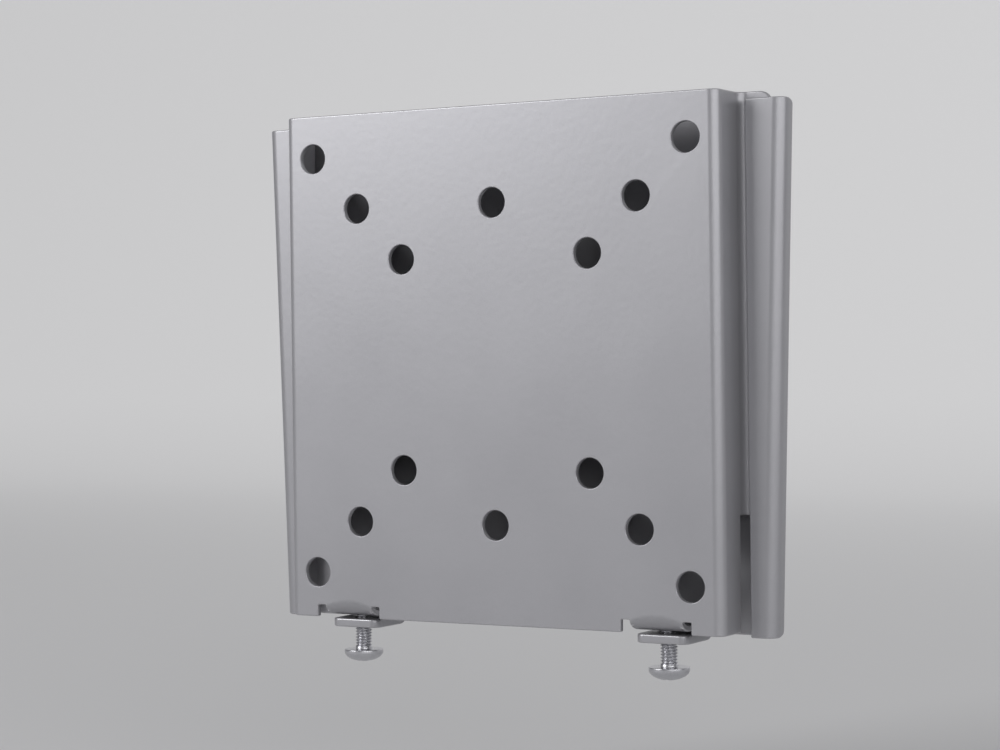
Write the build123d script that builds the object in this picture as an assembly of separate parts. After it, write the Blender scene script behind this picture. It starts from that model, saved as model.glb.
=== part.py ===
from build123d import *
import math
import os

# Fixed wall mount for a monitor: a tapered steel channel on the wall, a steel hat plate on the back of
# the monitor that drops into its rails, and two lock screws at the foot.
# Millimetres. The origin is on the wall, behind the centre of the hole patterns. +X is right, +Y goes
# into the wall, +Z is up, and the monitor is on the -Y side.

# How the two plates fit together
mount_depth = 16.4
lip_gap = 2.4
flange_hold = 5.2
seat_height = -6.0
rail_taper = 1.7
slide_gap = 0.3
wedge_gap = 0.1

# Wall plate
wall_sheet = 2.0
wall_bend = 1.0
wall_top = 58.6
wall_bottom = -61.8
rail_depth = 7.15
lip_ease_width = 3.2
lip_ease_height = 1.2
rail_corner = 6.0
rail_corner_start = 5.2
web_foot = -57.0
web_foot_width = 15.2

# Holes for the wall screws
wall_hole_radius = 3.25
wall_slot_length = 10.0
wall_slot_span_x = 77.0
wall_slot_span_z = 88.0
wall_stud_span_z = 60.0

# Monitor plate
plate_sheet = 1.5
plate_bend = 1.0
flange_bend = 2.0
plate_top = 60.3
plate_bottom = -60.8
plate_half = 58.0
flange_end = -34.5
flange_corner = 2.7

# Holes for the monitor screws
monitor_hole_radius = 3.5
monitor_hole_break = 0.25
pattern_large = 100.0
pattern_middle = 75.0
pattern_small = 50.0

# Lock tabs, one pair on each side
tab_inset = 16.7
tab_width = 13.2
tab_gap = 0.9
tab_relief = 2.2
tab_tip_round = 2.2
wall_tab_margin = 4.3
wall_tab_drop = 1.5
plate_tab_margin = 5.0
crescent_rise = 1.6
crescent_reach = 4.2

# Lock screws
lock_from_wall = 9.7
lock_radius = 2.0
lock_length = 12.0
lock_exposed = 5.6
lock_hole_clearance = 0.2
lock_thread_clearance = 0.1
lock_head_radius = 4.7
lock_head_rim = 1.2
lock_head_height = 3.0
lock_point = 0.6
recess_width = 5.0
recess_slot = 1.1
recess_depth = 1.5
recess_taper = 12.0

# Worked out from the sizes above
rail_slope = math.tan(math.radians(rail_taper))
lip_half = plate_half + lip_gap
lip_back = -rail_depth + wall_sheet
flange_front = lip_back + slide_gap
flange_back = flange_front + plate_sheet
flange_half = lip_half + flange_hold
face_middle = -mount_depth + plate_sheet / 2
tab_centre = plate_half - tab_inset
wall_tab_underside = wall_bottom - wall_tab_drop
wall_tab_upper = wall_tab_underside + wall_sheet
plate_tab_underside = wall_tab_upper + tab_gap
plate_tab_bend_line = plate_tab_underside + plate_bend + plate_sheet
crescent_seam = plate_tab_bend_line + crescent_rise + plate_bend


def rail_half_at(z):
    """Half the width over the rails at height z.

    At seat_height the flanges' corners wedge in the rails, just behind the rounded inside of the lip fold.
    From there the rails spread upwards by rail_taper on each side.
    """
    behind_fold = max(0.0, wall_bend - slide_gap)
    fold_intrusion = wall_bend - math.sqrt(wall_bend**2 - behind_fold**2)
    side_wall = wall_sheet / math.cos(math.radians(rail_taper))
    return flange_half + wedge_gap + fold_intrusion + side_wall + (z - seat_height) * rail_slope


def sheet_section(points, sheet, bends):
    """Section of a folded sheet: a line through its middle, thickened to half the sheet on each side.

    bends holds the inner radius of each fold in turn.
    """
    middle_line = FilletPolyline(*points, radius=[bend + sheet / 2 for bend in bends])
    return trace(middle_line, sheet)


def mirrored_pair(right):
    """A right-hand form together with its mirror image on the left."""
    return right + mirror(right, about=Plane.YZ)


def through_y(sketch, front, back):
    """A sketch drawn as seen from the monitor, X right and Z up, cut from y = front to y = back."""
    seen_from_front = Plane(origin=(0, back, 0), x_dir=(1, 0, 0), z_dir=(0, -1, 0))
    return extrude(seen_from_front * sketch, amount=back - front)


def box_between(low, high):
    """A box given by its lowest and highest corners."""
    size = [b - a for a, b in zip(low, high)]
    return Pos(*low) * Box(*size, align=(Align.MIN, Align.MIN, Align.MIN))


def side_view(offset):
    """Plane to draw the right-hand tabs' sections on, offset from their centre line."""
    return Plane(origin=(tab_centre + offset, 0, 0), x_dir=(0, 1, 0), z_dir=(1, 0, 0))


def lock_tab_flat(root, tip, underside, sheet, hole_radius):
    """The level part of a right-hand tab, with rounded corners at its tip and the lock screw's hole."""
    low = (tab_centre - tab_width / 2, min(root, tip), underside)
    high = (tab_centre + tab_width / 2, max(root, tip), underside + sheet)
    strip = box_between(low, high)
    tip_edges = strip.edges().filter_by(Axis.Z).filter_by(lambda edge: abs(edge.center().Y - tip) < 0.01)
    strip = fillet(tip_edges, tab_tip_round)
    hole = Pos(tab_centre, -lock_from_wall, underside) * Cylinder(hole_radius, 4 * sheet)
    return strip - hole


def wall_rail():
    """Right-hand rail: web strip, side wall and lip, folded square along a line that leans outwards."""
    lean = math.radians(rail_taper)
    along = (math.sin(lean), 0, math.cos(lean))
    across = (math.cos(lean), 0, -math.sin(lean))
    section_plane = Plane(origin=(rail_half_at(0), 0, 0), x_dir=across, z_dir=along)
    middle = wall_sheet / 2
    strip = rail_half_at(wall_top) - lip_half + rail_depth
    lip_middle = -rail_depth + middle
    section = sheet_section(
        [(-strip, -middle), (-middle, -middle), (-middle, lip_middle), (-strip, lip_middle)],
        wall_sheet,
        [wall_bend, wall_bend],
    )
    length = 2 * (wall_top - wall_bottom)
    rail = extrude(section_plane * section, amount=length / 2, both=True)
    rail &= box_between((0, -rail_depth, wall_bottom), (2 * rail_half_at(wall_top), 0, wall_top))
    beside_lip_edge = box_between(
        (0, -rail_depth, wall_bottom), (lip_half, -wall_sheet - wall_bend, wall_top)
    )
    return rail - beside_lip_edge


def rail_ends():
    """What is cut from the right rail: the rounded wall-side corner at each end and the eased lip corner."""
    far = 2 * rail_half_at(wall_top)
    corners = Part()
    for end, inward in ((wall_top, -1), (wall_bottom, 1)):
        side_fold = rail_half_at(end) - wall_sheet - wall_bend
        centre_z = end + inward * rail_corner
        corner = box_between((side_fold, -rail_corner_start, min(end, centre_z)), (far, 0, max(end, centre_z)))
        round_bar = Pos(far, -rail_corner_start, centre_z) * Rot(0, 90, 0) * Cylinder(rail_corner, 2 * far)
        corners += corner - round_bar
    ease = Polygon(
        (lip_half, wall_top),
        (lip_half + lip_ease_width, wall_top),
        (lip_half, wall_top - lip_ease_height),
        align=None,
    )
    return corners + through_y(ease, -rail_depth, lip_back)


def web():
    """The flat back between the rails. Its foot is higher between the tabs and beside each of them."""
    outline = Polygon(
        (-rail_half_at(wall_bottom) + rail_depth, wall_bottom),
        (rail_half_at(wall_bottom) - rail_depth, wall_bottom),
        (rail_half_at(wall_top) - rail_depth, wall_top),
        (-rail_half_at(wall_top) + rail_depth, wall_top),
        align=None,
    )
    foot_inner = rail_half_at(wall_bottom) - web_foot_width
    raised = Pos(0, web_foot) * Rectangle(
        2 * foot_inner, web_foot - wall_bottom, align=(Align.CENTER, Align.MAX)
    )
    return through_y(outline - raised, -wall_sheet, 0)


def wall_screw_holes():
    """Four level slots near the corners and two round holes one above the other in the middle."""
    slots = GridLocations(wall_slot_span_x, wall_slot_span_z, 2, 2) * SlotOverall(
        wall_slot_length, 2 * wall_hole_radius
    )
    studs = GridLocations(0, wall_stud_span_z, 1, 2) * Circle(wall_hole_radius)
    return through_y(Sketch() + slots + studs, -wall_sheet, 0)


def wall_plate():
    """Tapered channel with its two lower tabs, folded from one sheet."""
    middle = wall_sheet / 2
    bend_end = -wall_sheet - wall_bend
    bend_section = sheet_section(
        [
            (-middle, web_foot + wall_bend),
            (-middle, wall_tab_underside + middle),
            (bend_end, wall_tab_underside + middle),
        ],
        wall_sheet,
        [wall_bend],
    )
    bend = extrude(side_view(0) * bend_section, amount=tab_width / 2, both=True)
    tip = -lock_from_wall - wall_tab_margin
    flat = lock_tab_flat(bend_end, tip, wall_tab_underside, wall_sheet, lock_radius + lock_hole_clearance)
    rail = wall_rail() - rail_ends()
    return web() + mirrored_pair(rail) + mirrored_pair(bend + flat) - wall_screw_holes()


def flange_outline():
    """Right half from the front: the flange stands straight, then a lead-in runs down to the side wall."""
    fold_end = plate_half + flange_bend
    outline = Polygon(
        (0, plate_bottom),
        (plate_half, plate_bottom),
        (plate_half, flange_end),
        (fold_end, flange_end),
        (flange_half, seat_height),
        (flange_half, plate_top),
        (0, plate_top),
        align=None,
    )
    top_corner = outline.vertices().filter_by(lambda corner: corner.X > fold_end).sort_by(Axis.Y)[-1]
    return fillet(top_corner, flange_corner)


def monitor_holes():
    """The three square patterns and the two holes between the middle pattern's, with broken front edges."""
    places = [location for span in (pattern_large, pattern_middle, pattern_small)
              for location in GridLocations(span, span, 2, 2)]
    places += list(GridLocations(0, pattern_middle, 1, 2))
    circles = [place * Circle(monitor_hole_radius) for place in places]
    straight = through_y(Sketch() + circles, -mount_depth, 0)
    cone = Cone(monitor_hole_radius + monitor_hole_break, monitor_hole_radius, monitor_hole_break)
    breaks = [
        Pos(place.position.X, -mount_depth + monitor_hole_break / 2, place.position.Y) * Rot(-90, 0, 0) * cone
        for place in places
    ]
    return straight + breaks


def tab_openings():
    """What the foot of the plate loses at the right tab: the bend's own strip and a slot on each side."""
    slots = tab_width + 2 * tab_relief
    openings = Part()
    for width, top in ((slots, plate_tab_bend_line), (tab_width, crescent_seam)):
        low = (tab_centre - width / 2, -mount_depth, plate_bottom)
        high = (tab_centre + width / 2, -mount_depth + plate_sheet, top)
        openings += box_between(low, high)
    return openings


def crescent_height(offset):
    """Height where the right tab's bend starts: an arc that rises by crescent_rise towards its middle."""
    arc_radius = ((tab_width / 2) ** 2 + crescent_rise**2) / (2 * crescent_rise)
    return plate_tab_bend_line + crescent_rise - arc_radius + math.sqrt(arc_radius**2 - offset**2)


def crescent_section(offset):
    """Section of the right tab's bend: upright sheet, then a quarter ellipse down to the flat tab."""
    start = crescent_height(offset)
    front = -mount_depth
    back = front + plate_sheet
    root = front + crescent_reach
    upper = plate_tab_underside + plate_sheet
    drop = start - plate_tab_underside
    outer = EllipticalCenterArc((root, start), crescent_reach, drop, start_angle=180, arc_size=90)
    inner = EllipticalCenterArc(
        (root, start), crescent_reach - plate_sheet, drop - plate_sheet, start_angle=180, arc_size=90
    )
    outline = [
        Line((back, crescent_seam), (front, crescent_seam)),
        Line((front, crescent_seam), (front, start)),
        outer,
        Line((root, plate_tab_underside), (root, upper)),
        inner,
        Line((back, start), (back, crescent_seam)),
    ]
    return side_view(offset) * make_face(outline)


def crescent_tab():
    """Right-hand upper tab. Pressing it back drew the metal, so its bend reaches highest in the middle."""
    bend = loft([crescent_section(share * tab_width) for share in (-0.5, -0.25, 0.0, 0.25, 0.5)])
    root = -mount_depth + crescent_reach
    tip = -lock_from_wall + plate_tab_margin
    hole_radius = lock_radius + lock_thread_clearance
    return bend + lock_tab_flat(root, tip, plate_tab_underside, plate_sheet, hole_radius)


def monitor_plate():
    """Hat-section plate with its flanges and its two upper tabs, folded from one sheet."""
    side_middle = plate_half - plate_sheet / 2
    flange_middle = (flange_front + flange_back) / 2
    flange_reach = flange_half + plate_sheet
    section = sheet_section(
        [
            (-flange_reach, flange_middle),
            (-side_middle, flange_middle),
            (-side_middle, face_middle),
            (side_middle, face_middle),
            (side_middle, flange_middle),
            (flange_reach, flange_middle),
        ],
        plate_sheet,
        [flange_bend, plate_bend, plate_bend, flange_bend],
    )
    hat = Pos(0, 0, plate_bottom) * extrude(section, amount=plate_top - plate_bottom)
    hat &= mirrored_pair(through_y(flange_outline(), -mount_depth, 0))
    below_flange = box_between(
        (0, flange_front - flange_bend, plate_bottom), (plate_half, 0, flange_end)
    )
    hat = hat - mirrored_pair(below_flange) - mirrored_pair(tab_openings())
    return hat + mirrored_pair(crescent_tab()) - monitor_holes()


def lock_screw():
    """Pan-head screw, upright with its head down: one turned outline and a cross recess under the head."""
    bearing = wall_tab_underside - lock_exposed
    tip = bearing + lock_length
    rim = bearing - lock_head_rim
    crown = bearing - lock_head_height
    drop = rim - crown
    dome_radius = (lock_head_radius**2 + drop**2) / (2 * drop)
    dome_turn = math.degrees(math.atan2(lock_head_radius, dome_radius - drop))
    outline = Plane.XZ * make_face(
        Polyline(
            (0, crown),
            (0, tip),
            (lock_radius - lock_point, tip),
            (lock_radius, tip - lock_point),
            (lock_radius, bearing),
            (lock_head_radius, bearing),
            (lock_head_radius, rim),
        )
        + CenterArc((0, crown + dome_radius), dome_radius, 270, dome_turn)
    )
    turned = revolve(outline, Axis.Z)
    cross = Rectangle(recess_width, recess_slot) + Rectangle(recess_slot, recess_width)
    recess = extrude(Pos(0, 0, crown) * cross, amount=recess_depth, taper=recess_taper)
    return Pos(0, -lock_from_wall, 0) * (turned - recess)


screw = lock_screw()
nodes = {
    "wall_plate": wall_plate(),
    "monitor_plate": monitor_plate(),
    "lock_screw_right": Pos(tab_centre, 0, 0) * screw,
    "lock_screw_left": Pos(-tab_centre, 0, 0) * screw,
}
os.makedirs("parts", exist_ok=True)
for name, shape in nodes.items():
    export_step(shape, f"parts/{name}.step")
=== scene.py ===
import math

import bmesh
import bpy
import numpy as np
from mathutils import Matrix, Vector


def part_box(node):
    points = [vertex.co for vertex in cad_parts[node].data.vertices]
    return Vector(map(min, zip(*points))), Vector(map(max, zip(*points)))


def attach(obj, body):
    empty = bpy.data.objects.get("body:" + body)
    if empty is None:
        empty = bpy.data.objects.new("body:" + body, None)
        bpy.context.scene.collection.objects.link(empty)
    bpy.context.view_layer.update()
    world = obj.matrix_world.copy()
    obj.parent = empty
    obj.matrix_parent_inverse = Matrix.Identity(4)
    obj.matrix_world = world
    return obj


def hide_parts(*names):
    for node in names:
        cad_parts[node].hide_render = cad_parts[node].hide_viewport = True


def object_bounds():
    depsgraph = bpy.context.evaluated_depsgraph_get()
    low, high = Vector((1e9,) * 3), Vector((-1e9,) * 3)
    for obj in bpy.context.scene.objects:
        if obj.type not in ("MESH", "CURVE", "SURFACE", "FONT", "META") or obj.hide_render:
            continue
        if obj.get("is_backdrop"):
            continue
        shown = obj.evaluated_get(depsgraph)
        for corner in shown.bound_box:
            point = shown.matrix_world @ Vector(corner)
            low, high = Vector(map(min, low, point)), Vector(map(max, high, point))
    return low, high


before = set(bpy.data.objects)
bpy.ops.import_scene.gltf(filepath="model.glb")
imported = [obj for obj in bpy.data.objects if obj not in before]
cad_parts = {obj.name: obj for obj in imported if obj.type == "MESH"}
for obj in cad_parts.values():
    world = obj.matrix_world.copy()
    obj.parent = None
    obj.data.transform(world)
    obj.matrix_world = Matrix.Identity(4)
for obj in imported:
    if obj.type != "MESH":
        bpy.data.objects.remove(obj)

MM = 0.001
cad_low, cad_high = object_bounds()


# Wall plate: a shallow channel folded from 2 mm steel sheet, with rails that lean outwards towards the
# top and two tabs turned forward at the foot. It is punched and folded, then powder painted a satin
# silver grey, so every sheared edge is a little rounded by the paint.

rolled_edge = 0.32 * MM
edge_segments = 3
edge_slot = 1
fold_angle = math.radians(50)
flat_angle = math.radians(0.3)
flat_weight = 80
weld = 0.001 * MM
paint_colour = (0.400, 0.398, 0.418, 1.0)
paint_shade = (0.365, 0.363, 0.383, 1.0)
# The edge coat is lighter than the face: partly the thinner paint on the rolled edges, partly a painted
# highlight along them.
edge_paint_and_highlight_colour = (0.500, 0.498, 0.515, 1.0)


def merged_copy(node, name):
    """A copy of a CAD node as one closed surface.

    Points closer than weld are joined, and triangles in one plane become one face.
    """
    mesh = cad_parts[node].data.copy()
    mesh.name = name
    surface = bmesh.new()
    surface.from_mesh(mesh)
    bmesh.ops.remove_doubles(surface, verts=surface.verts, dist=weld)
    bmesh.ops.dissolve_limit(surface, angle_limit=flat_angle, verts=surface.verts, edges=surface.edges)
    surface.to_mesh(mesh)
    surface.free()
    mesh.materials.clear()
    mesh.shade_smooth()
    piece = bpy.data.objects.new(name, mesh)
    bpy.context.scene.collection.objects.link(piece)
    return piece


def mesh_points(mesh):
    """A mesh's points as an array, one row each."""
    points = np.empty(3 * len(mesh.vertices))
    mesh.vertices.foreach_get("co", points)
    return points.reshape(-1, 3)


def roll_edges(piece, width):
    """Rounds every sheared edge by width, inside the sheet's own box. The folds are left as they are."""
    sheet = mesh_points(piece.data)
    bevel = piece.modifiers.new("rolled_edges", "BEVEL")
    bevel.width = width
    bevel.segments = edge_segments
    bevel.limit_method = "ANGLE"
    bevel.angle_limit = fold_angle
    bevel.use_clamp_overlap = False
    bevel.loop_slide = False
    # The rounded faces take the lighter edge coat: thinner paint there, with a painted highlight along
    # the edge.
    bevel.material = edge_slot
    evaluated = piece.evaluated_get(bpy.context.evaluated_depsgraph_get())
    rolled = bpy.data.meshes.new_from_object(evaluated)
    piece.modifiers.remove(bevel)
    inside = np.clip(mesh_points(rolled), sheet.min(axis=0), sheet.max(axis=0))
    rolled.vertices.foreach_set("co", inside.ravel())
    piece.data = rolled
    flats = piece.modifiers.new("flats", "WEIGHTED_NORMAL")
    flats.weight = flat_weight
    return piece


def surface_variation():
    """Node group: how a coated surface changes from place to place.

    Cloud is a slow drift over centimetres, Peel the ripple of sprayed coating over millimetres, and
    Speckle the fine flake. Each is noise at its own scale, and runs from -0.5 to 0.5.
    """
    group = bpy.data.node_groups.new("surface_variation", "ShaderNodeTree")
    group.interface.new_socket("Cloud Scale", in_out="INPUT", socket_type="NodeSocketFloat")
    group.interface.new_socket("Peel Scale", in_out="INPUT", socket_type="NodeSocketFloat")
    group.interface.new_socket("Speckle Scale", in_out="INPUT", socket_type="NodeSocketFloat")
    nodes, links = group.nodes, group.links
    given = nodes.new("NodeGroupInput")
    result = nodes.new("NodeGroupOutput")
    place = nodes.new("ShaderNodeTexCoord")
    for name, detail in (("Cloud", 3.0), ("Peel", 1.5), ("Speckle", 1.0)):
        group.interface.new_socket(name, in_out="OUTPUT", socket_type="NodeSocketFloat")
        noise = nodes.new("ShaderNodeTexNoise")
        noise.inputs["Detail"].default_value = detail
        centred = nodes.new("ShaderNodeMath")
        centred.operation = "SUBTRACT"
        centred.inputs[1].default_value = 0.5
        links.new(place.outputs["Object"], noise.inputs["Vector"])
        links.new(given.outputs[f"{name} Scale"], noise.inputs["Scale"])
        links.new(noise.outputs["Fac"], centred.inputs[0])
        links.new(centred.outputs[0], result.inputs[name])
    return group


variation_group = surface_variation()


def scaled_sum(nodes, links, base, terms):
    """base plus each value times its own weight, as a chain of multiply-add nodes."""
    total = None
    for socket, weight in terms:
        step = nodes.new("ShaderNodeMath")
        step.operation = "MULTIPLY_ADD"
        step.inputs[1].default_value = weight
        links.new(socket, step.inputs[0])
        if total is None:
            step.inputs[2].default_value = base
        else:
            links.new(total, step.inputs[2])
        total = step.outputs[0]
    return total


cloud_share = 1.2
speckle_share = 0.9


def coated_metal(name, light, dark, metallic, roughness, drift, scales, peel_height):
    """A metallic coating: two close shades mixed by the slow drift and the flake, with a rippled skin."""
    material = bpy.data.materials.new(name)
    material.use_nodes = True
    nodes, links = material.node_tree.nodes, material.node_tree.links
    shader = nodes["Principled BSDF"]
    shader.inputs["Metallic"].default_value = metallic
    variation = nodes.new("ShaderNodeGroup")
    variation.node_tree = variation_group
    for socket, value in zip(("Cloud Scale", "Peel Scale", "Speckle Scale"), scales):
        variation.inputs[socket].default_value = value
    shade = nodes.new("ShaderNodeMix")
    shade.data_type = "RGBA"
    shade.inputs["A"].default_value = dark
    shade.inputs["B"].default_value = light
    cloud, speckle = variation.outputs["Cloud"], variation.outputs["Speckle"]
    share = scaled_sum(nodes, links, 0.5, [(cloud, cloud_share), (speckle, speckle_share)])
    links.new(share, shade.inputs["Factor"])
    links.new(shade.outputs["Result"], shader.inputs["Base Color"])
    rough = scaled_sum(nodes, links, roughness, [(cloud, drift), (speckle, drift)])
    links.new(rough, shader.inputs["Roughness"])
    ripple = nodes.new("ShaderNodeBump")
    ripple.inputs["Distance"].default_value = peel_height
    links.new(variation.outputs["Peel"], ripple.inputs["Height"])
    links.new(ripple.outputs["Normal"], shader.inputs["Normal"])
    return material


paint_scales = (38.0, 620.0, 5200.0)
silver_paint = coated_metal(
    "silver_paint", paint_colour, paint_shade, 0.55, 0.40, 0.08, paint_scales, 0.02 * MM
)
# Edge coat for the rolled edges, lighter and smoother than the face: partly thinner paint, partly a
# painted highlight along the edges.
silver_paint_edge_and_highlight = coated_metal(
    "silver_paint_edge_and_highlight", edge_paint_and_highlight_colour, paint_colour, 0.60, 0.34, 0.10, paint_scales, 0.01 * MM
)

wall_plate = merged_copy("wall_plate", "wall_plate_painted")
wall_plate.data.materials.append(silver_paint)
wall_plate.data.materials.append(silver_paint_edge_and_highlight)
roll_edges(wall_plate, rolled_edge)
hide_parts("wall_plate")
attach(wall_plate, "wall")


# Monitor plate: a hat section folded from 1.5 mm steel sheet. Its flanges drop behind the rails' lips,
# its face has the punched hole squares, and two tabs are turned back at the foot for the lock screws.
# It has the same satin silver-grey powder paint.

monitor_plate = merged_copy("monitor_plate", "monitor_plate_painted")
monitor_plate.data.materials.append(silver_paint)
monitor_plate.data.materials.append(silver_paint_edge_and_highlight)
roll_edges(monitor_plate, rolled_edge)
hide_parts("monitor_plate")
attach(monitor_plate, "monitor")


# Lock screws: two M4 pan-head machine screws of bright zinc-plated steel, with a rolled thread and a
# cross recess pressed into a domed head. They stand head down through the tabs at the plates' feet.

thread_major = 2.0 * MM
thread_depth = 0.40 * MM
thread_pitch = 0.7 * MM
thread_root = 0.25
thread_crest = 0.875
thread_runout = 0.6
screw_length = 12.0 * MM
screw_point = 0.6 * MM
head_rim = 0.6 * MM
head_dome = 3.0 * MM
bearing_round = 0.15 * MM
seat_play = 0.01 * MM
neck_round = 0.25 * MM
recess_half_length = 2.5 * MM
recess_half_width = 0.55 * MM
recess_depth = 1.5 * MM
recess_draft = math.tan(math.radians(12.0))
recess_floor_share = 0.5
recess_floor_depth = 1.06
recess_tip_depth = 1.10
mouth_round = 0.08 * MM
rows_per_pitch = 10
round_rows = 5
dome_rows = 22
arm_columns = 7
gap_columns = 9
screw_weld = 0.0005 * MM
crease_angle = math.radians(38)


def recess_angles():
    """Angles round the screw for the mesh's columns.

    In each quarter they run from one diagonal to the next, and one falls on each corner of the
    recess's arm, so that the cross keeps its corners.
    """
    corner = math.atan2(recess_half_width, recess_half_length)
    quarter = np.concatenate([
        np.linspace(-math.pi / 4, -corner, gap_columns)[:-1],
        np.linspace(-corner, corner, arm_columns)[:-1],
        np.linspace(corner, math.pi / 4, gap_columns)[:-1],
    ])
    return np.concatenate([quarter + arm * math.pi / 2 for arm in range(4)])


def cross_radius(angles, half_length, half_width):
    """Distance from the centre to a cross's outline.

    With t the angle from the nearest arm, it is the lesser of half_length / cos t, the arm's end, and
    half_width / sin t, the arm's side.
    """
    from_arm = np.abs((angles + math.pi / 4) % (math.pi / 2) - math.pi / 4)
    side = half_width / np.maximum(np.sin(from_arm), 1e-6)
    return np.minimum(half_length / np.cos(from_arm), side)


def threaded_rows(angles, bearing, tip):
    """Rows of the thread from the tip down to the head.

    The radius is a helix's ridge: with w = |2 frac(z / pitch - angle / turn) - 1|, it rises from the
    root to the crest while w goes from thread_root to thread_crest. It fades out under the head and
    at the point.
    """
    count = int(round((tip - bearing) / thread_pitch * rows_per_pitch))
    z = np.linspace(tip, bearing + neck_round, count)[:, None] + 0 * angles[None, :]
    turn = (z / thread_pitch - angles[None, :] / (2 * math.pi)) % 1.0
    ridge = np.clip((np.abs(2 * turn - 1) - thread_root) / (thread_crest - thread_root), 0, 1)
    runout = np.clip((z - bearing) / thread_pitch - thread_runout, 0, 1)
    radius = thread_major - thread_depth * (1 - ridge) * runout
    point = thread_major - screw_point * np.clip(1 - (tip - z) / screw_point, 0, 1)
    return np.minimum(radius, point), z


def dome_height(radius, rim, crown, head_radius):
    """Height of the head's dome at a radius: a quarter ellipse, rim - d sqrt(1 - (r / a)^2).

    Here a is the head's radius and d the drop from rim to crown.
    """
    drop = rim - crown
    return rim - drop * np.sqrt(np.clip(1 - (radius / head_radius) ** 2, 0, None))


def lock_screw_surface(bearing, tip, head_radius):
    """Radius and height of the whole screw, as rows from the tip's centre to the recess's floor.

    The corners under the head and round its seat are quarter circles. The recess's wall starts on the
    dome, at the cross's mouth, and leans in by its draft times the depth below the crown's level.
    """
    angles = recess_angles()
    ring = np.ones_like(angles)
    rim = bearing - head_rim
    crown = bearing + seat_play - head_dome
    radii, heights = threaded_rows(angles, bearing, tip)
    rows = [(0 * ring, tip * ring)] + list(zip(radii, heights))
    for turn in np.linspace(0, math.pi / 2, round_rows)[1:]:
        rows.append((
            (thread_major + neck_round * (1 - math.cos(turn))) * ring,
            (bearing + neck_round * (1 - math.sin(turn))) * ring,
        ))
    for turn in np.linspace(0, math.pi / 2, round_rows):
        rows.append((
            (head_radius - bearing_round * (1 - math.sin(turn))) * ring,
            (bearing - bearing_round * (1 - math.cos(turn))) * ring,
        ))
    mouth = cross_radius(angles, recess_half_length + mouth_round, recess_half_width + mouth_round)
    for turn in np.linspace(0, math.pi / 2, dome_rows):
        radius = mouth + (head_radius - mouth) * math.cos(turn)
        rows.append((radius, dome_height(radius, rim, crown, head_radius)))
    lip = dome_height(mouth, rim, crown, head_radius) + mouth_round
    for share in (0.0, 0.25, 0.5, 0.75, 1.0):
        level = lip + (crown + recess_depth - lip) * share
        inset = recess_draft * (level - crown)
        outline = cross_radius(angles, recess_half_length - inset, recess_half_width - inset)
        rows.append((outline, level))
    rows.append((recess_floor_share * rows[-1][0], (crown + recess_floor_depth * recess_depth) * ring))
    rows.append((0 * ring, (crown + recess_tip_depth * recess_depth) * ring))
    return np.array([r for r, _ in rows]), np.array([z for _, z in rows]), angles


def revolved_mesh(name, radius, height, angles, centre):
    """A closed mesh from rows of radius and height: x = radius cos angle, y = radius sin angle."""
    rows, columns = radius.shape
    points = np.stack([
        centre[0] + radius * np.cos(angles),
        centre[1] + radius * np.sin(angles),
        height,
    ], axis=-1).reshape(-1, 3)
    row, column = np.meshgrid(np.arange(rows - 1), np.arange(columns), indexing="ij")
    following = (column + 1) % columns
    faces = np.stack([
        row * columns + column,
        row * columns + following,
        (row + 1) * columns + following,
        (row + 1) * columns + column,
    ], axis=-1).reshape(-1, 4)
    mesh = bpy.data.meshes.new(name)
    mesh.from_pydata(points.tolist(), [], faces.tolist())
    surface = bmesh.new()
    surface.from_mesh(mesh)
    bmesh.ops.remove_doubles(surface, verts=surface.verts, dist=screw_weld)
    bmesh.ops.recalc_face_normals(surface, faces=surface.faces)
    surface.to_mesh(mesh)
    surface.free()
    mesh.shade_smooth()
    mesh.set_sharp_from_angle(angle=crease_angle)
    piece = bpy.data.objects.new(name, mesh)
    bpy.context.scene.collection.objects.link(piece)
    return piece


zinc_colour = (0.62, 0.62, 0.64, 1.0)
zinc_shade = (0.52, 0.52, 0.55, 1.0)
zinc_scales = (260.0, 1500.0, 9000.0)
zinc_plate = coated_metal(
    "zinc_plate", zinc_colour, zinc_shade, 1.0, 0.30, 0.12, zinc_scales, 0.004 * MM
)
for side in ("left", "right"):
    low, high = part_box(f"lock_screw_{side}")
    screw_radius = (high.x - low.x) / 2
    bearing = high.z - screw_length - seat_play
    radius, height, angles = lock_screw_surface(bearing, high.z, screw_radius)
    screw_centre = ((low.x + high.x) / 2, (low.y + high.y) / 2)
    height = np.maximum(height, low.z)
    screw = revolved_mesh(f"lock_screw_{side}_plated", radius, height, angles, screw_centre)
    screw.data.materials.append(zinc_plate)
    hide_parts(f"lock_screw_{side}")
    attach(screw, f"screw_{side}")


# Floor: a plain pale sweep below and behind the mount, one sheet that curves up into a backdrop. To the
# camera and in reflections it is lifted a little near the mount, and more towards the back.

floor_drop = 0.035
sweep_radius = 0.7
sweep_back = 1.1
sweep_half_width = 3.0
sweep_height = 2.4
sweep_front = -2.5
sweep_colour = (0.60, 0.60, 0.605, 1.0)
lift_near = 0.10
lift_far = 0.40
lift_reach = 1.4


def sweep_profile():
    """Path of the sweep from front to back: level, then a quarter circle, then upright."""
    level = cad_low.z - floor_drop
    turn = np.linspace(0, math.pi / 2, 33)
    curve_y = sweep_back + sweep_radius * np.sin(turn)
    curve_z = level + sweep_radius * (1 - np.cos(turn))
    path_y = np.concatenate([[sweep_front], curve_y, [sweep_back + sweep_radius]])
    path_z = np.concatenate([[level], curve_z, [level + sweep_height]])
    return path_y, path_z


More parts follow.
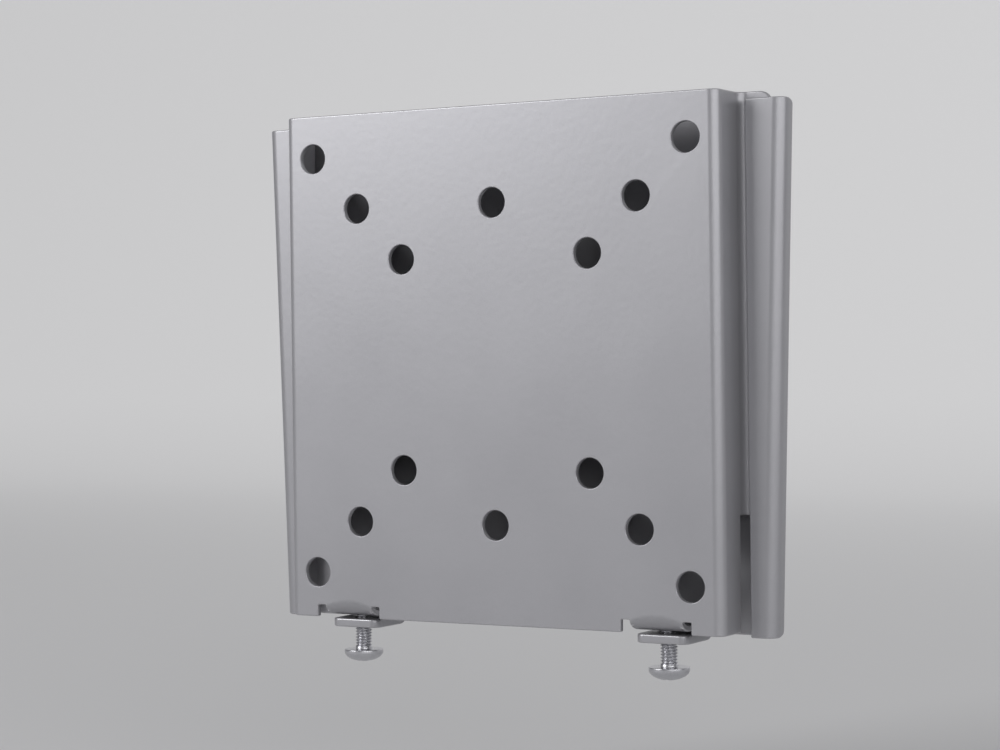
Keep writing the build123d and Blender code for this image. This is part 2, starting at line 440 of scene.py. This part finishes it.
path_y, path_z = sweep_profile()
across = np.array([-sweep_half_width, sweep_half_width])
sweep_points = np.stack([
    np.tile(across, len(path_y)),
    np.repeat(path_y, 2),
    np.repeat(path_z, 2),
], axis=-1)
first = 2 * np.arange(len(path_y) - 1)
sweep_faces = np.stack([first, first + 1, first + 3, first + 2], axis=-1)
sweep_mesh = bpy.data.meshes.new("floor")
sweep_mesh.from_pydata(sweep_points.tolist(), [], sweep_faces.tolist())
sweep_mesh.shade_smooth()
floor = bpy.data.objects.new("floor", sweep_mesh)
bpy.context.scene.collection.objects.link(floor)
floor_material = bpy.data.materials.new("floor")
floor_material.use_nodes = True
floor_shader = floor_material.node_tree.nodes["Principled BSDF"]
floor_shader.inputs["Base Color"].default_value = sweep_colour
floor_shader.inputs["Roughness"].default_value = 0.9
floor_shader.inputs["Specular IOR Level"].default_value = 0.1
floor_shader.inputs["Emission Color"].default_value = (1.0, 1.0, 1.0, 1.0)
floor_nodes, floor_links = floor_material.node_tree.nodes, floor_material.node_tree.links
ray = floor_nodes.new("ShaderNodeLightPath")
mirrored = floor_nodes.new("ShaderNodeMath")
mirrored.operation = "MAXIMUM"
seen = floor_nodes.new("ShaderNodeMath")
seen.operation = "MAXIMUM"
place = floor_nodes.new("ShaderNodeTexCoord")
place_axes = floor_nodes.new("ShaderNodeSeparateXYZ")
distance_lift = floor_nodes.new("ShaderNodeMapRange")
distance_lift.inputs["From Min"].default_value = 0.0
distance_lift.inputs["From Max"].default_value = lift_reach
distance_lift.inputs["To Min"].default_value = lift_near
distance_lift.inputs["To Max"].default_value = lift_far
backdrop_lift = floor_nodes.new("ShaderNodeMath")
backdrop_lift.operation = "MULTIPLY"
floor_links.new(place.outputs["Object"], place_axes.inputs["Vector"])
floor_links.new(place_axes.outputs["Y"], distance_lift.inputs["Value"])
floor_links.new(distance_lift.outputs["Result"], backdrop_lift.inputs[1])
floor_links.new(ray.outputs["Is Glossy Ray"], mirrored.inputs[0])
floor_links.new(ray.outputs["Is Transmission Ray"], mirrored.inputs[1])
floor_links.new(ray.outputs["Is Camera Ray"], seen.inputs[0])
floor_links.new(mirrored.outputs[0], seen.inputs[1])
floor_links.new(seen.outputs[0], backdrop_lift.inputs[0])
floor_links.new(backdrop_lift.outputs[0], floor_shader.inputs["Emission Strength"])
floor.data.materials.append(floor_material)
floor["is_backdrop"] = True


# Light: a grey room, a square soft lamp high on the left and a wide low one on the right.

room = bpy.data.worlds.new("room")
room.use_nodes = True
background = room.node_tree.nodes["Background"]
background.inputs["Color"].default_value = (0.5, 0.5, 0.52, 1.0)
background.inputs["Strength"].default_value = 0.5
bpy.context.scene.world = room


def soft_lamp(name, place, aim, width, height, power):
    """A rectangular lamp at place that faces aim."""
    lamp = bpy.data.lights.new(name, "AREA")
    lamp.shape = "RECTANGLE"
    lamp.size = width
    lamp.size_y = height
    lamp.energy = power
    holder = bpy.data.objects.new(name, lamp)
    bpy.context.scene.collection.objects.link(holder)
    direction = Vector(aim) - Vector(place)
    holder.rotation_euler = direction.to_track_quat("-Z", "Y").to_euler()
    holder.location = place
    return holder


centre = (0.0, -0.01, 0.0)
soft_lamp("lamp_left", (-0.72, -0.86, 0.48), centre, 0.6, 0.6, 7.3)
soft_lamp("lamp_right", (0.95, -0.60, 0.32), centre, 1.6, 0.5, 6.5)


# Camera: level with the mount and to its right, turned and tilted as worked out from the hole squares.

camera_place = Vector((288.0, -507.5, 2.7)) * MM
camera_yaw = math.radians(30.23)
camera_pitch = math.radians(0.53)
camera_roll = math.radians(-0.71)
frame_width = 1000
focal_pixels = 1325.9
closer = 1.85
sensor_width = 36.0

behind = Vector((
    math.sin(camera_yaw) * math.cos(camera_pitch),
    -math.cos(camera_yaw) * math.cos(camera_pitch),
    math.sin(camera_pitch),
))
level_right = (-behind).cross(Vector((0, 0, 1))).normalized()
level_up = level_right.cross(-behind)
right = math.cos(camera_roll) * level_right + math.sin(camera_roll) * level_up
up = -math.sin(camera_roll) * level_right + math.cos(camera_roll) * level_up
camera_data = bpy.data.cameras.new("camera")
camera_data.sensor_width = sensor_width
camera_data.lens = closer * focal_pixels / frame_width * sensor_width
camera_data.clip_start = 0.01
camera = bpy.data.objects.new("camera", camera_data)
camera.matrix_world = Matrix.Translation(camera_place) @ Matrix((right, up, behind)).transposed().to_4x4()
bpy.context.scene.collection.objects.link(camera)
bpy.context.scene.camera = camera
bpy.context.scene.view_settings.view_transform = "Standard"

low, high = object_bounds()
